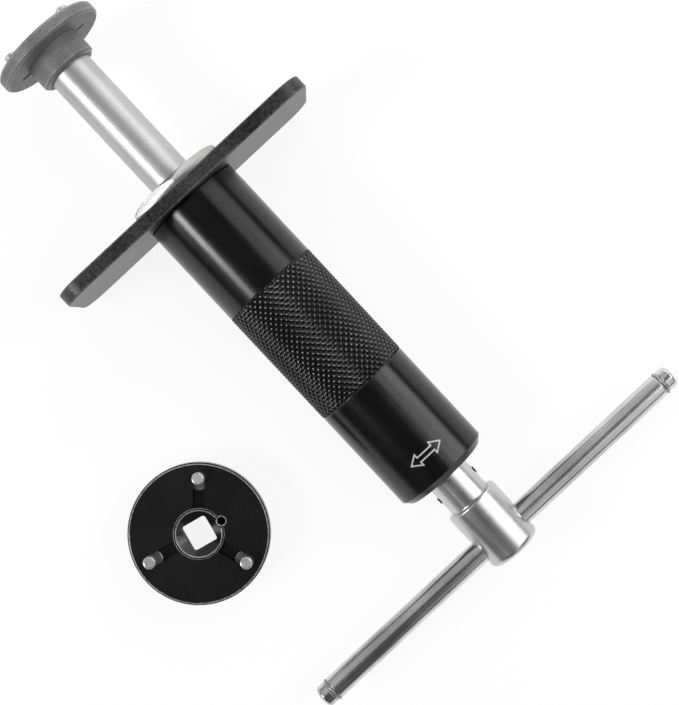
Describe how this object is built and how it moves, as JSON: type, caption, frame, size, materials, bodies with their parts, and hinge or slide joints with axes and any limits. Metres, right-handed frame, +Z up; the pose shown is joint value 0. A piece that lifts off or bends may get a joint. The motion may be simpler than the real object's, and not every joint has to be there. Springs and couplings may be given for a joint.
{
  "type": "brake caliper piston tool",
  "caption": "Spring-loaded brake caliper piston tool: knurled black barrel with reaction plate, steel ram, T-handle and slotted pin adapters, one fitted and one beside it.",
  "frame": {"origin": "middle of the footprint, on the bench that the tool and its spare adapter lie on", "axes": "+X from the fitted adapter towards the T-handle, +Y across the tool along the T-bar, +Z up from the bench"},
  "size_m": [0.2438, 0.184, 0.0482],
  "materials": {
    "black_body": "semi-gloss black coating over a turned steel barrel",
    "plate_black": "black coated steel plate with worn edges",
    "zinc": "bright zinc plate",
    "bronze": "sintered bronze",
    "rubber": "matt black rubber",
    "nylon": "natural nylon",
    "inner_steel": "plain turned steel",
    "spring_steel": "oiled spring wire",
    "ram_steel": "ground and polished steel",
    "handle_steel": "satin nickel plated steel",
    "black_pin": "black oxide spring pin",
    "grey_adapter": "grey phosphate",
    "black_adapter": "black oxide, lightly oiled",
    "pin_steel": "plain steel with bright bevelled tips",
    "screw_steel": "black oxide set screw with bright edges"
  },
  "bodies": {
    "barrel": {"housing": "black_body", "reaction_plate": "plate_black", "lock_nut": "zinc", "front_bush": "bronze", "wiper_seal": "rubber", "buffer_washer": "nylon", "rear_plug": "inner_steel", "rear_bush": "bronze", "rear_snap_ring": "spring_steel", "return_spring": "spring_steel"},
    "spring_follower": {"thrust_washer": "inner_steel"},
    "plunger": {"ram": "ram_steel", "stop_collar": "inner_steel", "collar_pin": "spring_steel", "detent_ball": "ram_steel", "detent_spring": "spring_steel", "t_head": "handle_steel", "handle_pin": "black_pin"},
    "handle_bar": {"t_bar": "handle_steel", "bar_rings": "zinc"},
    "fitted_adapter": {"two_pin_body": "grey_adapter", "two_pin_insert": "grey_adapter", "two_pin_screw": "screw_steel"},
    "fitted_pin_left": {"two_pin_left": "pin_steel"},
    "fitted_pin_right": {"two_pin_right": "pin_steel"},
    "spare_adapter": {"three_pin_body": "black_adapter", "three_pin_insert": "black_adapter", "three_pin_screw": "screw_steel"},
    "spare_pin_first": {"three_pin_first": "pin_steel"},
    "spare_pin_second": {"three_pin_second": "pin_steel"},
    "spare_pin_third": {"three_pin_third": "pin_steel"}
  },
  "joints": [
    {"name": "pull", "type": "slide", "parent": "barrel", "child": "spring_follower", "axis": [0.9989, 0, -0.0476], "range_m": [0, 0.045], "stiffness_N_per_m": 2200, "springref_m": -0.015, "deforming": ["return_spring"]},
    {"name": "spin", "type": "hinge", "parent": "spring_follower", "child": "plunger", "pos_m": [-0.04332, 0.0112, 0.02397], "axis": [0.9989, 0, -0.0476], "continuous": true},
    {"name": "bar_slide", "type": "slide", "parent": "plunger", "child": "handle_bar", "axis": [0, 1, 0], "range_m": [-0.0654, 0.0694]},
    {"name": "adapter_off", "type": "slide", "parent": "plunger", "child": "fitted_adapter", "axis": [-0.9989, 0, 0.0476], "range_m": [0, 0.02]},
    {"name": "fitted_pin_left_slide", "type": "slide", "parent": "fitted_adapter", "child": "fitted_pin_left", "axis": [0, 1, 0], "range_m": [0, 0.003]},
    {"name": "fitted_pin_right_slide", "type": "slide", "parent": "fitted_adapter", "child": "fitted_pin_right", "axis": [0, -1, 0], "range_m": [0, 0.003]},
    {"name": "spare_lift", "type": "slide", "parent": "barrel", "child": "spare_adapter", "axis": [0, 0, 1], "range_m": [0, 0.04]},
    {"name": "spare_pin_first_slide", "type": "slide", "parent": "spare_adapter", "child": "spare_pin_first", "axis": [0.9563, 0.2924, 0], "range_m": [-0.0054, 0]},
    {"name": "spare_pin_second_slide", "type": "slide", "parent": "spare_adapter", "child": "spare_pin_second", "axis": [-0.7314, 0.682, 0], "range_m": [-0.0054, 0]},
    {"name": "spare_pin_third_slide", "type": "slide", "parent": "spare_adapter", "child": "spare_pin_third", "axis": [-0.225, -0.9744, 0], "range_m": [-0.0054, 0]}
  ]
}
